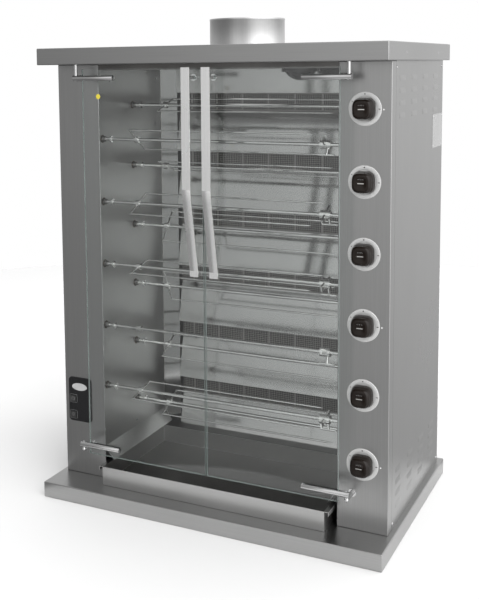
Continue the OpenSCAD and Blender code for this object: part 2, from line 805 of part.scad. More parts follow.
base_plate();
top_cap();
flue_collar();
left_column();
right_column();
left_side_panel();
right_side_panel();
rear_cover();
left_inner_wall();
right_inner_wall();
cavity_ceiling();
oven_lamp();
back_reflector();
burner_housings();
burner_meshes();
gas_manifold();
knob_bezels();
control_panel();
motor_button();
lamp_button();
gearmotor();
motor_sprocket();
drive_chain();
spit_bushes();
hinge_pins();
left_door_glass();
right_door_glass();
left_door_clamps();
right_door_clamps();
left_door_handle();
right_door_handle();
drip_tray();
for (k = [0:rear_spits - 1])
    burner_knob(k);
for (i = [0:spit_count - 1])
    spit(i);
for (i = [0:spit_count - 1])
    spit_sprocket(i);
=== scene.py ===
"""Looks of an upright gas rotisserie oven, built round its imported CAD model.

Metres, +Z up, the front faces -Y. Places come from the CAD nodes' boxes.
"""
import json
import math

import bmesh
import bpy
from mathutils import Matrix, Vector


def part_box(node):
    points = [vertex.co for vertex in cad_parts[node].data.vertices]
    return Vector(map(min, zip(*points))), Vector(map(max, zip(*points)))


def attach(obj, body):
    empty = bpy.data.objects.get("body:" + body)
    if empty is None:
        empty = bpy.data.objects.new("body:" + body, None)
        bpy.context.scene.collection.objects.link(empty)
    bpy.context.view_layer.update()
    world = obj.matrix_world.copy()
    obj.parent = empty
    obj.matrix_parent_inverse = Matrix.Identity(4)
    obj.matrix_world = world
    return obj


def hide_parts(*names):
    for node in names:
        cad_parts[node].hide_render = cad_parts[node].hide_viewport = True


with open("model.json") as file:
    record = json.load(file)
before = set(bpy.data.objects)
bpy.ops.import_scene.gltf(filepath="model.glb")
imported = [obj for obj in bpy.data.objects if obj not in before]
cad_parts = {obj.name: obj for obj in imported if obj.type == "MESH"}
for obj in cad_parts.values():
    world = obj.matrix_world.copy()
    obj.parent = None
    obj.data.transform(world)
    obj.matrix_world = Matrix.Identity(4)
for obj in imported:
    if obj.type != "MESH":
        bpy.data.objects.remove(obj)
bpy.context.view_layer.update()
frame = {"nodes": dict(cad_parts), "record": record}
NODES = frame["nodes"]
MM = 0.001

# ---------- camera ----------

CAMERA_AT = Vector((0.982, -2.272, 1.075))
CAMERA_YAW, CAMERA_PITCH, CAMERA_ROLL = (math.radians(a) for a in (27.60, 5.98, -0.72))
FRAME_LONG_SIDE, FRAME_SHORT_SIDE = 600, 479
FOCAL_LENGTH = 996.1  # in units of one picture element
OPTICAL_CENTRE = (173.5, 170.0)


def make_camera():
    """A level-standing view camera: the optical centre is off the middle of the frame."""
    data = bpy.data.cameras.new("camera")
    data.sensor_width = 36
    data.lens = FOCAL_LENGTH * data.sensor_width / FRAME_LONG_SIDE
    data.shift_x = (FRAME_SHORT_SIDE / 2 - OPTICAL_CENTRE[0]) / FRAME_LONG_SIDE
    data.shift_y = (OPTICAL_CENTRE[1] - FRAME_LONG_SIDE / 2) / FRAME_LONG_SIDE
    data.clip_end = 60
    camera = bpy.data.objects.new("camera", data)
    bpy.context.scene.collection.objects.link(camera)
    look = Vector((
        -math.sin(CAMERA_YAW) * math.cos(CAMERA_PITCH),
        math.cos(CAMERA_YAW) * math.cos(CAMERA_PITCH),
        -math.sin(CAMERA_PITCH)))
    right = look.cross(Vector((0, 0, 1))).normalized()
    roll = Matrix.Rotation(-CAMERA_ROLL, 3, look)
    right = roll @ right
    up = right.cross(look)
    turn = Matrix((right, up, -look)).transposed()
    camera.matrix_world = Matrix.Translation(CAMERA_AT) @ turn.to_4x4()
    bpy.context.scene.camera = camera


make_camera()

# ---------- materials ----------


def new_material(name, colour, roughness, metallic=0.0, **sockets):
    """A Principled material. sockets are further values, named with _ for spaces."""
    material = bpy.data.materials.new(name)
    material.use_nodes = True
    shader = material.node_tree.nodes["Principled BSDF"]
    shader.inputs["Base Color"].default_value = (*colour, 1)
    shader.inputs["Roughness"].default_value = roughness
    shader.inputs["Metallic"].default_value = metallic
    for socket, value in sockets.items():
        shader.inputs[socket.replace("_", " ")].default_value = value
    return material


def add_node(material, kind, **values):
    """A new node. Values name its properties, or its inputs with _ for spaces."""
    node = material.node_tree.nodes.new("ShaderNode" + kind)
    for key, value in values.items():
        if hasattr(node, key):
            setattr(node, key, value)
        else:
            node.inputs[key.replace("_", " ")].default_value = value
    return node


def join(material, *steps):
    """Links output to input for each (from node, output, to node, input)."""
    for start, output, end, socket in steps:
        material.node_tree.links.new(start.outputs[output], end.inputs[socket])


def stretched_noise(material, stretch, scale=1.0, detail=3.0):
    """Noise in object space, drawn out by stretch = (x, y, z) repeats a metre."""
    place = add_node(material, "TexCoord")
    mapping = add_node(material, "Mapping")
    mapping.inputs["Scale"].default_value = stretch
    noise = add_node(material, "TexNoise", Scale=scale, Detail=detail)
    join(material, (place, "Object", mapping, "Vector"), (mapping, "Vector", noise, "Vector"))
    return noise


def vary(material, source, socket, low, high, start=0.3, end=0.7):
    """Drives a number of the Principled shader between low and high from a noise."""
    spread = add_node(material, "MapRange")
    for name, value in (("From Min", start), ("From Max", end), ("To Min", low), ("To Max", high)):
        spread.inputs[name].default_value = value
    shader = material.node_tree.nodes["Principled BSDF"]
    join(material, (source, 0, spread, "Value"), (spread, "Result", shader, socket))


def tint(material, source, dark, light, start=0.3, end=0.7):
    """Drives the base colour between two colours from a noise."""
    ramp = add_node(material, "ValToRGB")
    ramp.color_ramp.elements[0].position = start
    ramp.color_ramp.elements[0].color = (*dark, 1)
    ramp.color_ramp.elements[1].position = end
    ramp.color_ramp.elements[1].color = (*light, 1)
    shader = material.node_tree.nodes["Principled BSDF"]
    join(material, (source, 0, ramp, "Fac"), (ramp, "Color", shader, "Base Color"))


def emboss(material, source, depth, strength=0.5):
    """Bump from a noise. depth is in metres."""
    bump = add_node(material, "Bump", Strength=strength, Distance=depth)
    shader = material.node_tree.nodes["Principled BSDF"]
    join(material, (source, 0, bump, "Height"), (bump, "Normal", shader, "Normal"))


def shade(colour, factor):
    return tuple(c * factor for c in colour)


def sheet_steel(name, colour, roughness, grain="z", fineness=2200, depth=0.02 * MM, wavy=False,
                metallic=1.0):
    """Sheet steel with rolled grain along one axis and faint large smudges.

    A wavy sheet is polished: its grain is too fine to feel, but the sheet isn't quite flat.
    """
    material = new_material(name, colour, roughness, metallic)
    stretch = [fineness if axis != grain else 6 for axis in "xyz"]
    lines = stretched_noise(material, stretch, detail=2)
    smudge = stretched_noise(material, (3.1, 3.7, 2.3), detail=4)
    tint(material, smudge if wavy else lines, shade(colour, 0.93), shade(colour, 1.06))
    vary(material, smudge, "Roughness", roughness - 0.03, roughness + 0.04)
    if wavy:
        emboss(material, stretched_noise(material, (4, 4, 4), detail=1), 1.2 * MM, 1.0)
    else:
        emboss(material, lines, depth, 0.35)
    return material


def cast_finish(name, colour, roughness, metallic, scale, depth, contrast=0.12, **sockets):
    """A surface with fine even texture, such as paint, plastic or sintered metal."""
    material = new_material(name, colour, roughness, metallic, **sockets)
    fine = stretched_noise(material, (scale, scale, scale), detail=4)
    broad = stretched_noise(material, (9, 9, 9), detail=3)
    tint(material, broad, shade(colour, 1 - contrast), shade(colour, 1 + contrast))
    vary(material, broad, "Roughness", roughness * 0.85, roughness * 1.2)
    emboss(material, fine, depth, 0.4)
    return material


def pane_glass():
    """Clear glass for a thin pane: see-through, with a reflection that grows at glancing angles."""
    material = bpy.data.materials.new("pane_glass")
    material.use_nodes = True
    nodes = material.node_tree.nodes
    nodes.remove(nodes["Principled BSDF"])
    clear = add_node(material, "BsdfTransparent")
    clear.inputs["Color"].default_value = (0.965, 0.975, 0.972, 1)
    gloss = add_node(material, "BsdfGlossy", Roughness=0.01)
    gloss.inputs["Color"].default_value = (1, 1, 1, 1)
    facing = add_node(material, "LayerWeight", Blend=0.5)
    steep = add_node(material, "Math", operation="POWER")
    steep.inputs[1].default_value = 4.0
    amount = add_node(material, "MapRange")
    amount.inputs["To Min"].default_value = 0.045
    mix = add_node(material, "MixShader")
    join(material,
         (facing, "Facing", steep, 0), (steep, 0, amount, "Value"), (amount, "Result", mix, "Fac"),
         (mix, 0, nodes["Material Output"], "Surface"))
    material.node_tree.links.new(clear.outputs[0], mix.inputs[1])
    material.node_tree.links.new(gloss.outputs[0], mix.inputs[2])
    return material


def ceramic_tiles():
    """Burner tiles behind the wire screens: pale ceramic pierced by fine rows of holes, coloured dark, with
    each hole drawn as a near-black dot of painted shade.
    """
    material = new_material("ceramic_tiles", (0.16, 0.15, 0.14), 0.85)
    place = add_node(material, "TexCoord")
    hole_shade = add_node(material, "TexVoronoi", Scale=330.0, Randomness=0.1)
    join(material, (place, "Object", hole_shade, "Vector"))
    # painted shade: the near-black dots stand in for the shade inside the holes
    tint(material, hole_shade, (0.01, 0.01, 0.01), (0.075, 0.072, 0.066), 0.25, 0.5)
    return material


STEEL = (0.40, 0.40, 0.398)
MATERIAL = {
    "sheet_upright": sheet_steel("sheet_upright", STEEL, 0.30, "z"),
    "sheet_across": sheet_steel("sheet_across", STEEL, 0.30, "x"),
    "sheet_deep": sheet_steel("sheet_deep", STEEL, 0.30, "y"),
    "polished": sheet_steel("polished", (0.46, 0.46, 0.455), 0.10, "x", 900, wavy=True),
    "polished_wall": sheet_steel("polished_wall", (0.54, 0.54, 0.535), 0.32, "z", 900, wavy=True),
    "sooted": cast_finish("sooted", (0.17, 0.165, 0.16), 0.32, 1.0, 40, 0.05 * MM, 0.3),
    "satin": sheet_steel("satin", (0.66, 0.66, 0.66), 0.33, "z"),
    "heated": cast_finish("heated", (0.11, 0.105, 0.10), 0.5, 1.0, 300, 0.05 * MM),
    "screen_wire": cast_finish("screen_wire", (0.36, 0.35, 0.34), 0.45, 1.0, 900, 0.02 * MM),
    "tiles": ceramic_tiles(),
    "brass": cast_finish("brass", (0.62, 0.47, 0.2), 0.32, 1.0, 400, 0.02 * MM),
    "bezel": cast_finish("bezel", (0.60, 0.60, 0.595), 0.40, 0.35, 1500, 0.01 * MM, 0.05),
    "plate": cast_finish("plate", (0.40, 0.40, 0.40), 0.35, 0.3, 1500, 0.01 * MM, 0.05),
    "mark": cast_finish("mark", (0.02, 0.02, 0.02), 0.5, 0.0, 900, 0.01 * MM),
    "white_mark": cast_finish("white_mark", (0.72, 0.72, 0.72), 0.5, 0.0, 900, 0.01 * MM),
    "panel": cast_finish("panel", (0.009, 0.009, 0.010), 0.20, 0.0, 1800, 0.01 * MM),
    "button": cast_finish("button", (0.028, 0.028, 0.028), 0.5, 0.0, 2200, 0.03 * MM),
    "knob": cast_finish("knob", (0.008, 0.005, 0.0035), 0.10, 0.0, 900, 0.004 * MM, 0.2,
                        Specular_IOR_Level=0.28),
    "paint": cast_finish("paint", (0.2, 0.22, 0.24), 0.45, 0.0, 700, 0.05 * MM),
    "chain": cast_finish("chain", (0.2, 0.195, 0.19), 0.36, 1.0, 600, 0.03 * MM, 0.25),
    "bronze": cast_finish("bronze", (0.17, 0.14, 0.11), 0.45, 1.0, 1500, 0.03 * MM),
    "bright": cast_finish("bright", (0.62, 0.62, 0.62), 0.16, 1.0, 900, 0.005 * MM, 0.04),
    "handle": sheet_steel("handle", (0.94, 0.94, 0.935), 0.26, "z", metallic=0.94),
    "tray": sheet_steel("tray", (0.50, 0.50, 0.495), 0.31, "x", 900, wavy=True),
    # painted shade: the tray floor's dark colour stands in for the shade inside the tray
    "painted_shade_tray_floor": cast_finish("painted_shade_tray_floor", (0.17, 0.165, 0.16), 0.34, 1.0, 60, 0.05 * MM, 0.2),
    "spit": cast_finish("spit", (0.74, 0.74, 0.73), 0.10, 1.0, 700, 0.01 * MM, 0.1),
    "lamp": cast_finish("lamp", (0.03, 0.03, 0.032), 0.12, 0.0, 500, 0.01 * MM),
    "sticker": cast_finish("sticker", (0.62, 0.52, 0.05), 0.45, 0.0, 900, 0.01 * MM),
    "screen_bar": cast_finish("screen_bar", (0.30, 0.29, 0.28), 0.4, 1.0, 700, 0.02 * MM),
    "grey_mark": cast_finish("grey_mark", (0.2, 0.2, 0.2), 0.5, 0.0, 900, 0.01 * MM),
    "chrome_mark": cast_finish("chrome_mark", (0.75, 0.74, 0.72), 0.2, 1.0, 900, 0.005 * MM),
    "badge": cast_finish("badge", (0.45, 0.45, 0.45), 0.4, 0.0, 900, 0.01 * MM),
    "glass_edge": cast_finish("glass_edge", (0.20, 0.235, 0.225), 0.22, 0.0, 1200, 0.01 * MM),
    "glass": pane_glass(),
}
SLOT_LOOK = {
    "brushed_stainless": "sheet_upright", "polished_stainless": "polished", "satin_steel": "satin",
    "heated_steel": "heated", "burner_mesh": "tiles", "brass": "brass", "bezel_silver": "bezel",
    "black_panel": "panel", "button_black": "button", "knob_black": "knob",
    "motor_paint": "paint", "chain_steel": "chain", "bronze_bush": "bronze",
    "bright_steel": "bright", "handle_steel": "handle", "tray_steel": "tray",
    "spit_steel": "spit", "lamp_glass": "lamp", "door_glass": "glass"}
NODE_LOOK = {
    "cavity_ceiling": "sooted",
    "base_plate": "sheet_across", "top_cap": "sheet_across",
    "left_inner_wall": "polished_wall", "right_inner_wall": "polished_wall"}
SLOT_OF = {part["node"]: part["material_slot"] for part in frame["record"]["subparts"]}
BODY_OF = {
    node: body
    for body, members in frame["record"]["behaviour"]["bodies"].items() for node in members}


def look_of(node):
    return MATERIAL[NODE_LOOK.get(node, SLOT_LOOK[SLOT_OF[node]])]


def paint(obj, material):
    obj.data.materials.clear()
    obj.data.materials.append(material)


for node_name, node_object in NODES.items():
    paint(node_object, look_of(node_name))

# ---------- mesh tools ----------


def add_box(mesh, low, high):
    """Box between two corners."""
    low, high = Vector(low), Vector(high)
    size = Matrix.Diagonal((*(high - low), 1))
    place = Matrix.Translation((low + high) / 2) @ size
    bmesh.ops.create_cube(mesh, size=1, matrix=place)


def turned_to(direction):
    """Rotation that takes +Z to a direction."""
    return Vector((0, 0, 1)).rotation_difference(Vector(direction).normalized()).to_matrix()


def add_lathe(mesh, profile, at, axis, sides=32, power=2.0):
    """Closed turned body. profile is (radius, height) points; height runs along axis.

    A power over 2 makes the section a square with very round corners.
    """
    turn, at = turned_to(axis), Vector(at)
    rings = []

    def swell(angle):
        return (abs(math.cos(angle)) ** power + abs(math.sin(angle)) ** power) ** (-1 / power)

    for radius, height in profile:
        if radius < 1e-7:
            rings.append([mesh.verts.new(at + turn @ Vector((0, 0, height)))])
            continue
        angles = [2 * math.pi * n / sides for n in range(sides)]
        rings.append([
            mesh.verts.new(at + turn @ Vector(
                (radius * swell(a) * math.cos(a), radius * swell(a) * math.sin(a), height)))
            for a in angles])
    for one, two in zip(rings, rings[1:]):
        for n in range(sides):
            m = (n + 1) % sides
            corners = [one[n % len(one)], one[m % len(one)], two[m % len(two)], two[n % len(two)]]
            corners = list(dict.fromkeys(corners))
            if len(corners) > 2:
                mesh.faces.new(corners)
    if len(rings[0]) > 1 and profile[0] == profile[-1]:
        bmesh.ops.remove_doubles(mesh, verts=rings[0] + rings[-1], dist=1e-7)


def add_tube(mesh, line, radius, sides=8):
    """Round wire along a line of points, with closed ends."""
    line = [Vector(p) for p in line]
    rings = []
    side = None
    for n, point in enumerate(line):
        ahead = (line[min(n + 1, len(line) - 1)] - line[max(n - 1, 0)]).normalized()
        if side is None:
            side = ahead.orthogonal().normalized()
        side = (side - ahead * side.dot(ahead)).normalized()
        other = ahead.cross(side)
        angles = [2 * math.pi * s / sides for s in range(sides)]
        rings.append([
            mesh.verts.new(point + radius * (math.cos(a) * side + math.sin(a) * other))
            for a in angles])
    for one, two in zip(rings, rings[1:]):
        for s in range(sides):
            t = (s + 1) % sides
            mesh.faces.new((one[s], one[t], two[t], two[s]))
    mesh.faces.new(reversed(rings[0]))
    mesh.faces.new(rings[-1])


def finish_piece(name, mesh, body, look, smooth=35):
    """Makes the mesh an object that rides on a body. smooth is the sharpest smooth edge."""
    bmesh.ops.recalc_face_normals(mesh, faces=mesh.faces)
    data = bpy.data.meshes.new(name)
    mesh.to_mesh(data)
    mesh.free()
    data.shade_smooth()
    data.set_sharp_from_angle(angle=math.radians(smooth))
    obj = bpy.data.objects.new(name, data)
    bpy.context.scene.collection.objects.link(obj)
    paint(obj, MATERIAL[look])
    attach(obj, body)
    return obj


FLAT_AREA = 20 * MM ** 2  # larger faces that lie square are shaded flat


def rounded(node, width, fold=0.0):
    """The CAD node with its edges rolled over by width, as deburred sheet has them.

    fold is the larger radius of the edges where two sides of its box meet.
    """
    low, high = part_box(node)

    def on_fold(edge):
        shared = 0
        for axis in range(3):
            for side in (low[axis], high[axis]):
                shared += all(abs(v.co[axis] - side) < 1e-5 for v in edge.verts)
        return shared > 1

    mesh = bmesh.new()
    mesh.from_mesh(NODES[node].data)
    bmesh.ops.remove_doubles(mesh, verts=mesh.verts, dist=1e-6)
    bmesh.ops.dissolve_limit(
        mesh, angle_limit=math.radians(1), verts=mesh.verts, edges=mesh.edges)
    for radius, folded in ((fold, True), (width, False)):
        sharp = [
            e for e in mesh.edges
            if radius and len(e.link_faces) == 2 and e.calc_face_angle(0) > math.radians(40)
            and (on_fold(e) or not folded)]
        if sharp:
            bmesh.ops.bevel(
                mesh, geom=sharp, offset=radius, offset_type="OFFSET", segments=4 if folded else 2,
                profile=0.5, affect="EDGES", clamp_overlap=True)
    obj = finish_piece(
        node + "_formed", mesh, BODY_OF[node],
        NODE_LOOK.get(node, SLOT_LOOK[SLOT_OF[node]]))
    for face in obj.data.polygons:
        square_on = max(abs(c) for c in face.normal) > 0.9999
        face.use_smooth = not (square_on and face.area > FLAT_AREA)
    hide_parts(node)
    return obj


def middle(node):
    low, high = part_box(node)
    return (low + high) / 2


# ---------- cabinet sheets ----------

SHEET_EDGE = 0.4 * MM
FOLD_RADIUS = 2.2 * MM
for sheet_node in ("base_plate", "top_cap", "left_column", "right_column"):
    rounded(sheet_node, SHEET_EDGE, FOLD_RADIUS)
rounded("control_panel", 0.7 * MM)
for strip_node in ("left_door_handle", "right_door_handle"):
    rounded(strip_node, 0.6 * MM)
for bar_node in ("left_door_clamps", "right_door_clamps"):
    rounded(bar_node, 0.5 * MM)
for button_node in ("motor_button", "lamp_button"):
    rounded(button_node, 0.5 * MM)


def form_tray():
    """The tray, with its floor in a darker colour: painted shade inside the tray."""
    tray = rounded("drip_tray", 0.4 * MM)
    # the floor faces get the darker colour, painted shade inside the tray
    tray.data.materials.append(MATERIAL["painted_shade_tray_floor"])
    floor_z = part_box("drip_tray")[0].z + 5 * MM
    for face in tray.data.polygons:
        if face.normal.z > 0.9 and face.center.z < floor_z:
            face.material_index = 1


form_tray()


def door_pane(node):
    """The pane with its edges ground and arrissed, so that they catch the light."""
    pane = rounded(node, 0.8 * MM)
    pane.data.materials.append(MATERIAL["glass_edge"])
    for face in pane.data.polygons:
        if abs(face.normal.y) < 0.9:
            face.material_index = 1


door_pane("left_door_glass")
door_pane("right_door_glass")

# ---------- places on the cabinet ----------

BASE_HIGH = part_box("base_plate")[1]
CAP_LOW, CAP_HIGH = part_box("top_cap")
SIDE_LOW, SIDE_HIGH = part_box("right_side_panel")
COLUMN_LOW, COLUMN_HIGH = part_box("right_column")
WALL_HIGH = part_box("right_inner_wall")[1]
MESH_LOW, MESH_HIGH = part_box("burner_meshes")
SHEET_T = 1.5 * MM
REAR_Y = SIDE_HIGH.y + SHEET_T
WALL_INNER_X = WALL_HIGH.x - SHEET_T
BURNERS = 6
KNOB_AT = [middle(f"burner_knob_{k + 1}") for k in range(BURNERS)]


def add_screw(mesh, at, axis, radius=4 * MM, rise=1.6 * MM):
    """Pan-head screw with a round drive recess."""
    profile = [
        (0, -0.2 * MM), (radius, -0.2 * MM), (radius, 0.35 * rise), (0.86 * radius, 0.8 * rise),
        (0.5 * radius, rise), (0.36 * radius, rise), (0.3 * radius, 0.3 * rise), (0, 0.3 * rise)]
    add_lathe(mesh, profile, at, axis, 20)


REAR_SCREW_X = (-0.40, -0.2, 0, 0.2, 0.40)
CAP_RIVET_Y = (-0.134, 0.161)
WALL_SCREW_SPOTS = ((0.09, WALL_HIGH.z - 26 * MM), (-0.042, 0.139), (-0.15, WALL_HIGH.z - 26 * MM))


def make_screws():
    """Screws of the covers and of the cavity walls, and flat rivets on the ends of the cap."""
    outside = bmesh.new()
    for side in (-1, 1):
        for y in (SIDE_LOW.y + 5 * MM, SIDE_HIGH.y - 12 * MM):
            for z in (SIDE_LOW.z + 14 * MM, SIDE_HIGH.z - 14 * MM):
                add_screw(outside, (side * SIDE_HIGH.x, y, z), (side, 0, 0), 3.2 * MM, 1.2 * MM)
    for x in REAR_SCREW_X:
        for z in (BASE_HIGH.z + 14 * MM, COLUMN_HIGH.z - 14 * MM):
            add_screw(outside, (x, REAR_Y, z), (0, 1, 0))
    finish_piece("cover_screws", outside, "cabinet", "bright")
    rivets = bmesh.new()
    for side in (-1, 1):
        for y in CAP_RIVET_Y:
            add_screw(rivets, (side * CAP_HIGH.x, y, CAP_LOW.z + 18 * MM), (side, 0, 0), 2.6 * MM, 0.15 * MM)
    finish_piece("cap_rivets", rivets, "cabinet", "bright")
    inside = bmesh.new()
    for side in (-1, 1):
        for y, z in WALL_SCREW_SPOTS:
            add_screw(inside, (side * WALL_INNER_X, y, z), (-side, 0, 0), 3.5 * MM, 1.4 * MM)
    finish_piece("wall_screws", inside, "cabinet", "bright")


make_screws()


def add_louvre(mesh, at, along, up, out, length, rise, height):
    """Pressed lip over a vent slot: proud at its lower edge, fading into the sheet above."""
    at, along, up, out = Vector(at), Vector(along), Vector(up), Vector(out)
    columns, rows = 10, 5
    front, back = [], []
    for r in range(rows + 1):
        v = r / rows
        front.append([])
        back.append([])
        for c in range(columns + 1):
            u = 2 * c / columns - 1
            proud = rise * (1 - v) ** 0.8 * (1 - abs(u) ** 4)
            spot = at + along * (u * length / 2) + up * (v * height)
            front[-1].append(mesh.verts.new(spot + out * (proud + 0.12 * MM)))
            back[-1].append(mesh.verts.new(spot - out * 0.3 * MM))
    for r in range(rows):
        for c in range(columns):
            mesh.faces.new((front[r][c], front[r][c + 1], front[r + 1][c + 1], front[r + 1][c]))
            mesh.faces.new((back[r][c], back[r + 1][c], back[r + 1][c + 1], back[r][c + 1]))
    rim = [(0, c) for c in range(columns)] + [(r, columns) for r in range(rows)]
    rim += [(rows, c) for c in range(columns, 0, -1)] + [(r, 0) for r in range(rows, 0, -1)]
    for n, (r, c) in enumerate(rim):
        r2, c2 = rim[(n + 1) % len(rim)]
        mesh.faces.new((front[r][c], back[r][c], back[r2][c2], front[r2][c2]))


VENT_LENGTH = 46 * MM
VENT_HEIGHT = 5 * MM
VENT_COLUMN_GAP = 103 * MM
VENT_ROW_GAP = 27.2 * MM
VENT_FIRST_Y = -0.119
VENT_GROUPS_Z = (0.083, 0.959)
REAR_VENT_X = (-0.15, 0, 0.15)
REAR_VENT_ROWS = 6


def make_louvres():
    for side, name in ((-1, "left_vent_lips"), (1, "right_vent_lips")):
        lips = bmesh.new()
        for group_z in VENT_GROUPS_Z:
            for row in range(4):
                for column in range(4):
                    y = VENT_FIRST_Y + column * VENT_COLUMN_GAP
                    z = group_z + row * VENT_ROW_GAP - VENT_HEIGHT / 2 - 0.5 * MM
                    add_louvre(
                        lips, (side * SIDE_HIGH.x, y, z), (0, 1, 0), (0, 0, 1), (side, 0, 0),
                        VENT_LENGTH + 2 * MM, 1.3 * MM, 11 * MM)
        finish_piece(name, lips, "cabinet", "sheet_upright", 50)
    lips = bmesh.new()
    for x in REAR_VENT_X:
        for row in range(REAR_VENT_ROWS):
            z = COLUMN_HIGH.z - 70 * MM - row * VENT_ROW_GAP - VENT_HEIGHT / 2 - 0.5 * MM
            add_louvre(lips, (x, REAR_Y, z), (1, 0, 0), (0, 0, 1), (0, 1, 0), 92 * MM, 3 * MM, 12 * MM)
    finish_piece("rear_vent_lips", lips, "cabinet", "sheet_upright", 50)


make_louvres()


def make_flue_collar():
    """Rolled collar with a hemmed rim, a lap seam and a screwed flange."""
    at = middle("flue_collar")
    low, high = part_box("flue_collar")
    outer = 91.9 * MM
    inner = 90.4 * MM
    sleeve = 90.9 * MM
    bore = 89.4 * MM
    flange = (high.x - low.x) / 2
    top = high.z
    z = CAP_HIGH.z
    profile = [
        (sleeve, low.z), (sleeve, z), (flange - 0.3 * MM, z), (flange, z + 0.4 * MM),
        (flange, z + 1.1 * MM), (flange - 0.4 * MM, z + 1.5 * MM), (outer + 2 * MM, z + 1.5 * MM),
        (outer + 0.4 * MM, z + 2.2 * MM), (outer, z + 4 * MM), (outer, top - 5 * MM),
        (outer + 0.5 * MM, top - 4.4 * MM), (outer + 0.6 * MM, top - 1.2 * MM),
        (outer + 0.1 * MM, top - 0.2 * MM), (outer - 0.6 * MM, top), (inner + 0.1 * MM, top - 0.4 * MM),
        (inner, top - 1.5 * MM), (inner, z + 1 * MM), (bore, z + 1 * MM), (bore, low.z),
        (sleeve, low.z)]
    mesh = bmesh.new()
    add_lathe(mesh, profile, (at.x, at.y, 0), (0, 0, 1), 96)
    collar = finish_piece("flue_collar_formed", mesh, "cabinet", "satin", 40)
    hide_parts("flue_collar")
    trim = bmesh.new()
    for n in range(6):
        angle = math.radians(60 * n + 30)
        spot = (at.x + 99.5 * MM * math.cos(angle), at.y + 99.5 * MM * math.sin(angle), z + 1.5 * MM)
        add_screw(trim, spot, (0, 0, 1), 3 * MM, 1.4 * MM)
    finish_piece("flue_flange_screws", trim, "cabinet", "bright")
    seam = bmesh.new()
    line = []
    for step in range(5):
        angle = math.radians(148 + step)
        line.append((math.cos(angle), math.sin(angle)))
    rings = []
    for radius in (outer - 0.3 * MM, outer + 0.7 * MM):
        rings.append([[seam.verts.new((at.x + radius * c, at.y + radius * s, height)) for c, s in line]
                      for height in (z + 4 * MM, top - 5.2 * MM)])
    for n in range(4):
        seam.faces.new((rings[1][0][n], rings[1][0][n + 1], rings[1][1][n + 1], rings[1][1][n]))
        seam.faces.new((rings[0][0][n], rings[0][1][n], rings[0][1][n + 1], rings[0][0][n + 1]))
        for end in (0, 1):
            seam.faces.new((rings[0][end][n], rings[0][end][n + 1], rings[1][end][n + 1], rings[1][end][n]))
    for n in (0, 4):
        seam.faces.new((rings[0][0][n], rings[0][1][n], rings[1][1][n], rings[1][0][n]))
    finish_piece("flue_seam", seam, "cabinet", "satin")


make_flue_collar()

# ---------- blank plate on the right side ----------


def make_blank_plate():
    low, high = Vector((SIDE_HIGH.x, 0.166, 0.867)), Vector((SIDE_HIGH.x + 0.5 * MM, 0.264, 0.949))
    plate = bmesh.new()
    add_box(plate, low, high)
    finish_piece("blank_plate", plate, "cabinet", "plate")
    rivets = bmesh.new()
    for y in (low.y + 5 * MM, high.y - 5 * MM):
        for z in (low.z + 5 * MM, high.z - 5 * MM):
            add_lathe(rivets, [(0, 0), (1.8 * MM, 0), (1.3 * MM, 0.6 * MM), (0, 0.8 * MM)],
                      (high.x, y, z), (1, 0, 0), 12)
    finish_piece("plate_rivets", rivets, "cabinet", "bright")


make_blank_plate()

# ---------- burners ----------


def make_burner_screens():
    """Woven wire screens over the burner tiles, held by flat bars and a folded frame."""
    wires, bars = bmesh.new(), bmesh.new()
    half, height = MESH_HIGH.x, 46 * MM
    pitch, wire = 5 * MM, 0.5 * MM
    y = MESH_LOW.y - 0.4 * MM
    across = int(half / pitch)
    for at in KNOB_AT:
        z = at.z
        for n in range(-across, across + 1):
            lean = 0.25 * MM if n % 2 else -0.25 * MM
            add_tube(wires, [(n * pitch, y + lean, z - height / 2), (n * pitch, y + lean, z + height / 2)],
                     wire, 4)
        for n in range(-4, 5):
            add_tube(wires, [(-half, y, z + n * pitch), (half, y, z + n * pitch)], wire, 4)
        for n in range(-3, 4):
            x = n * 74 * MM
            add_box(bars, (x - 2.2 * MM, y - 1.2 * MM, z - height / 2),
                    (x + 2.2 * MM, y - 0.5 * MM, z + height / 2))
        for side in (-1, 1):
            add_box(bars, (-half, y - 1.3 * MM, z + side * (height / 2 - 1 * MM) - 1 * MM),
                    (half, y - 0.4 * MM, z + side * (height / 2 - 1 * MM) + 1 * MM))
    finish_piece("burner_wire_screens", wires, "cabinet", "screen_wire")
    finish_piece("burner_screen_bars", bars, "cabinet", "screen_bar")


make_burner_screens()

# ---------- knobs and their bezels ----------


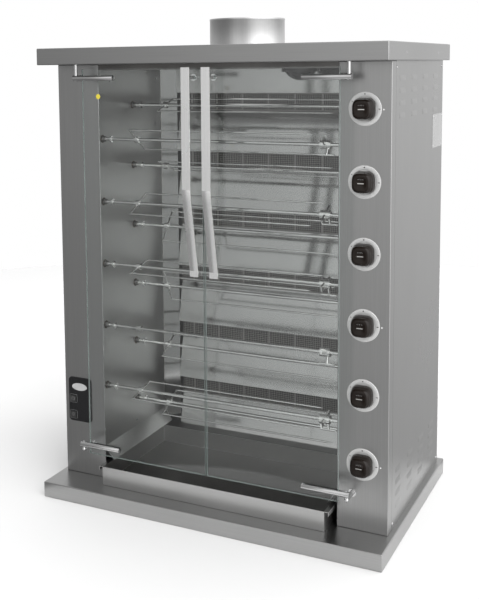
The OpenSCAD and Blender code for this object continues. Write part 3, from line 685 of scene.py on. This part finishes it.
def make_bezels():
    """Flat rings with a rolled rim and a shallow seat for the knob."""
    rings, marks, pale = bmesh.new(), bmesh.new(), bmesh.new()
    low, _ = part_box("knob_bezels")
    back = COLUMN_LOW.y
    radius = 36.5 * MM
    seat = 27.5 * MM
    thick = back - low.y
    profile = [
        (5 * MM, 0), (radius, 0), (radius, 0.5 * thick), (radius - 0.7 * MM, 0.92 * thick),
        (radius - 1.6 * MM, thick), (seat + 0.8 * MM, thick), (seat, 0.9 * thick),
        (seat - 0.6 * MM, 0.45 * thick), (5 * MM, 0.45 * thick), (5 * MM, 0)]
    front = low.y
    for number, at in enumerate(KNOB_AT, 1):
        add_lathe(rings, profile, (at.x, back, at.z), (0, -1, 0), 64)
        ring = 32 * MM
        for angle, size in ((90, 1.5), (150, 1.1), (0, 1.4)):
            x = at.x + ring * math.cos(math.radians(angle))
            z = at.z + ring * math.sin(math.radians(angle))
            wide, tall = (2.6, 0.9) if angle == 0 else (size, size)
            add_lathe(marks, [(0, 0), (1, 0), (1, 1), (0, 1)], (0, 0, 0), (0, -1, 0), 12)
            new = marks.verts[-26:]
            for vert in new:
                local = vert.co
                vert.co = Vector((
                    x + local.x * wide * MM, front + local.y * 0.12 * MM, z + local.z * tall * MM))
        if number in (1, 4, 6):
            add_lathe(pale, [(0, 0), (1.6 * MM, 0), (1.6 * MM, 0.25 * MM), (0, 0.25 * MM)],
                      (at.x + 41 * MM, back, at.z - 1 * MM), (0, -1, 0), 12)
    obj = finish_piece("knob_bezels_formed", rings, "cabinet", "bezel", 40)
    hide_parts("knob_bezels")
    finish_piece("bezel_marks", marks, "cabinet", "mark")
    finish_piece("valve_dots", pale, "cabinet", "white_mark")


def make_knob(number):
    """Gas knob: a square with very round corners, a dished face and a pale index line."""
    node = f"burner_knob_{number}"
    at, (low, _) = KNOB_AT[number - 1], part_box(node)
    back = COLUMN_LOW.y - 3 * MM
    deep = back - low.y
    half = 24.6 * MM
    profile = [(0, 0), (half - 1.4 * MM, 0), (half - 0.4 * MM, 0.6 * MM), (half, 2 * MM)]
    profile += [(half - 2 * MM, 0.5 * deep)]
    curve, rise = 6.5 * MM, 0.4 * deep
    for step in range(9):
        angle = math.pi / 2 * step / 8
        profile.append((
            half - 3 * MM - curve * (1 - math.cos(angle)), deep - rise * (1 - math.sin(angle))))
    for share, dish in ((0.5, 0.3), (0.4, 0.8), (0.25, 1.5), (0.1, 1.75)):
        profile.append((half * share, deep - dish * MM))
    profile.append((0, deep - 1.8 * MM))
    mesh = bmesh.new()
    add_lathe(mesh, profile, (at.x, back, at.z), (0, -1, 0), 64, 3.3)
    spindle = [(0, -34 * MM), (3 * MM, -34 * MM), (3 * MM, 0.5 * MM), (0, 0.5 * MM)]
    add_lathe(mesh, spindle, (at.x, back, at.z), (0, -1, 0), 24)
    obj = finish_piece(node + "_formed", mesh, BODY_OF[node], "knob", 50)
    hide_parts(node)
    marks = bmesh.new()
    face = back - deep
    add_box(marks, (at.x - 8 * MM, face + 1.35 * MM, at.z - 0.9 * MM),
            (at.x + 8 * MM, face + 1.95 * MM, at.z + 0.9 * MM))
    finish_piece(f"knob_{number}_line", marks, BODY_OF[node], "chrome_mark")
    signs = bmesh.new()
    for x in (-5, 0, 5):
        ring = [(1.2 * MM, 0), (1.7 * MM, 0), (1.7 * MM, 0.3 * MM), (1.2 * MM, 0.3 * MM), (1.2 * MM, 0)]
        add_lathe(signs, ring, (at.x + x * MM, face + 1.1 * MM, at.z + 9.5 * MM), (0, -1, 0), 16)
    finish_piece(f"knob_{number}_signs", signs, BODY_OF[node], "grey_mark")


make_bezels()
for knob_number in range(1, BURNERS + 1):
    make_knob(knob_number)

# ---------- switch panel ----------


def make_panel_marks():
    """A blank badge, thin frames round the buttons, and generic signs on them."""
    low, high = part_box("control_panel")
    front = low.y
    badge = bmesh.new()
    centre = Vector(((low.x + high.x) / 2 - 1 * MM, front, high.z - 24 * MM))
    profile = [(0, 0), (1, 0), (1, 0.5), (0.96, 0.8), (0, 0.8)]
    add_lathe(badge, profile, (0, 0, 0), (0, -1, 0), 48)
    for vert in badge.verts:
        vert.co = centre + Vector((vert.co.x * 22 * MM, vert.co.y * 1 * MM, vert.co.z * 9.5 * MM))
    finish_piece("blank_badge", badge, "cabinet", "badge")
    frames = bmesh.new()
    for node in ("motor_button", "lamp_button"):
        spot = middle(node)
        half, inner = 10.4 * MM, 0.35 * MM
        corners = [(-1, -1), (1, -1), (1, 1), (-1, 1), (-1, -1)]
        line = []
        for (x0, z0), (x1, z1) in zip(corners, corners[1:]):
            line += [
                (spot.x + (x0 + (x1 - x0) * t) * half, front - 0.1 * MM, spot.z + (z0 + (z1 - z0) * t) * half)
                for t in (0.08, 0.92)]
        line.append(line[0])
        add_tube(frames, line, inner, 6)
    finish_piece("button_frames", frames, "cabinet", "grey_mark")
    signs = {"motor_button": "arc", "lamp_button": "lamp"}
    line_r = 0.35 * MM
    for node, sign in signs.items():
        spot, (face, _) = middle(node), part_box(node)
        mesh = bmesh.new()
        y = face.y - 0.02 * MM
        if sign == "arc":
            turn = [math.radians(a) for a in range(-50, 231, 20)]
            line = [(spot.x + 4.2 * MM * math.cos(a), y, spot.z + 4.2 * MM * math.sin(a)) for a in turn]
            add_tube(mesh, line, line_r, 6)
            tip = Vector(line[0])
            barbs = Vector((-2.4 * MM, 0, 0.3 * MM)), Vector((0.4 * MM, 0, 2.5 * MM))
            add_tube(mesh, [tip + barbs[0], tip, tip + barbs[1]], line_r, 6)
        else:
            turn = [math.radians(a) for a in range(-60, 241, 20)]
            line = [(spot.x + 3 * MM * math.cos(a), y, spot.z + 1 * MM + 3 * MM * math.sin(a)) for a in turn]
            add_tube(mesh, line, line_r, 6)
            foot = spot.z - 3.4 * MM
            add_tube(mesh, [(spot.x - 1.5 * MM, y, foot), (spot.x + 1.5 * MM, y, foot)], line_r, 6)
        finish_piece(node + "_sign", mesh, BODY_OF[node], "grey_mark")


make_panel_marks()


def make_sticker():
    """A plain yellow spot in the upper corner of the left pane."""
    low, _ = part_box("left_door_glass")
    mesh = bmesh.new()
    centre = Vector((low.x + 45 * MM, low.y, 1.004))
    disc = [(0, 0), (6 * MM, 0), (6 * MM, 0.1 * MM), (5.7 * MM, 0.15 * MM), (0, 0.15 * MM)]
    add_lathe(mesh, disc, centre, (0, -1, 0), 32)
    finish_piece("plain_sticker", mesh, "left_door", "sticker")


make_sticker()

# ---------- light, floor ----------


def area_light(name, at, aim, size, power, mirrored=True):
    data = bpy.data.lights.new(name, "AREA")
    data.shape = "RECTANGLE"
    data.size, data.size_y = size
    data.energy = power
    light = bpy.data.objects.new(name, data)
    bpy.context.scene.collection.objects.link(light)
    light.location = at
    light.visible_glossy = mirrored
    light.rotation_euler = (Vector(aim) - Vector(at)).to_track_quat("-Z", "Y").to_euler()


# Brightness of the studio round the horizon: (degrees from the front towards +X, value).
STUDIO_RING = [
    (-180, 0.80), (-110, 0.50), (-60, 0.34), (-34, 0.32), (-26, 0.60), (-17, 0.86), (2, 0.80),
    (13, 0.55), (28, 1.1), (42, 1.9), (62, 2.3), (100, 1.8), (130, 0.90), (156, 0.85), (180, 0.80)]
# The same from straight down to straight up: (sine of the elevation, factor).
STUDIO_RISE = [(-1, 0.6), (-0.45, 0.55), (-0.2, 0.8), (0, 1), (0.3, 1.15), (1, 1.3)]
RAMP_TOP = 4.0
NEAR_FLOOR, FAR_FLOOR = 0.57, 3.0


def make_disc(name, inner, outer, material):
    mesh = bmesh.new()
    turn = [2 * math.pi * n / 96 for n in range(96)]
    rings = [[mesh.verts.new((r * math.cos(a), r * math.sin(a), 0)) for a in turn] for r in (inner, outer)]
    for n in range(96):
        m = (n + 1) % 96
        mesh.faces.new((rings[0][n], rings[1][n], rings[1][m], rings[0][m]))
    data = bpy.data.meshes.new(name)
    mesh.to_mesh(data)
    mesh.free()
    obj = bpy.data.objects.new(name, data)
    bpy.context.scene.collection.objects.link(obj)
    paint(obj, material)
    return obj


def make_floor():
    """A plain pale floor. Metal mirrors only the part near the oven, as in a dimmed studio."""
    material = new_material("floor", (0.68, 0.68, 0.68), 0.95, Specular_IOR_Level=0.0)
    make_disc("near_floor", 0.001, NEAR_FLOOR, material)
    make_disc("far_floor", NEAR_FLOOR, FAR_FLOOR, material).visible_glossy = False


def add_ramp(world, stops):
    """Colour ramp with grey stops, given as (place, value). It gives value / RAMP_TOP."""
    ramp = add_node(world, "ValToRGB")
    while len(ramp.color_ramp.elements) < len(stops):
        ramp.color_ramp.elements.new(0.5)
    for stop, (place, value) in zip(ramp.color_ramp.elements, stops):
        stop.position = place
        stop.color = (value / RAMP_TOP, value / RAMP_TOP, value / RAMP_TOP, 1)
    return ramp


def make_world():
    """A white surround. What metal mirrors of it changes round the horizon and with height."""
    world = bpy.data.worlds.new("studio")
    bpy.context.scene.world = world
    world.use_nodes = True
    place = add_node(world, "TexCoord")
    split = add_node(world, "SeparateXYZ")
    front = add_node(world, "Math", operation="MULTIPLY")
    front.inputs[1].default_value = -1.0
    turn = add_node(world, "Math", operation="ARCTAN2")
    share = add_node(world, "MapRange")
    share.inputs["From Min"].default_value = -math.pi
    share.inputs["From Max"].default_value = math.pi
    ring = add_ramp(world, [((degrees + 180) / 360, value) for degrees, value in STUDIO_RING])
    height = add_node(world, "MapRange")
    height.inputs["From Min"].default_value = -1.0
    rise = add_ramp(world, [((sine + 1) / 2, factor) for sine, factor in STUDIO_RISE])
    scaled = add_node(world, "Math", operation="MULTIPLY")
    scaled.inputs[1].default_value = RAMP_TOP ** 2
    lit = add_node(world, "Math", operation="MULTIPLY")
    rays = add_node(world, "LightPath")
    pick = add_node(world, "Mix", data_type="FLOAT")
    pick.inputs[3].default_value = 1.0
    background = world.node_tree.nodes["Background"]
    background.inputs["Color"].default_value = (1, 1, 1, 1)
    join(world,
         (place, "Generated", split, "Vector"), (split, "Y", front, 0), (split, "X", turn, 0),
         (front, 0, turn, 1), (turn, 0, share, "Value"), (share, "Result", ring, "Fac"),
         (split, "Z", height, "Value"), (height, "Result", rise, "Fac"), (rise, "Color", scaled, 0),
         (ring, "Color", lit, 0), (scaled, 0, lit, 1),
         (rays, "Is Camera Ray", pick, 0), (lit, 0, pick, 2), (pick, 0, background, "Strength"))


def make_studio():
    make_floor()
    make_world()
    centre = (0, 0, 0.6)
    area_light("key", (1.6, -3.0, 2.3), centre, (1.5, 1.5), 30, False)
    area_light("fill", (-2.6, -2.2, 1.6), centre, (1.2, 1.2), 6, False)
    area_light("top", (0, 0, 3.4), centre, (3.4, 3.4), 70, False)
    area_light("back", (0.5, 3.2, 1.9), centre, (2, 1.5), 15, False)


make_studio()
bpy.context.scene.view_settings.view_transform = "Standard"
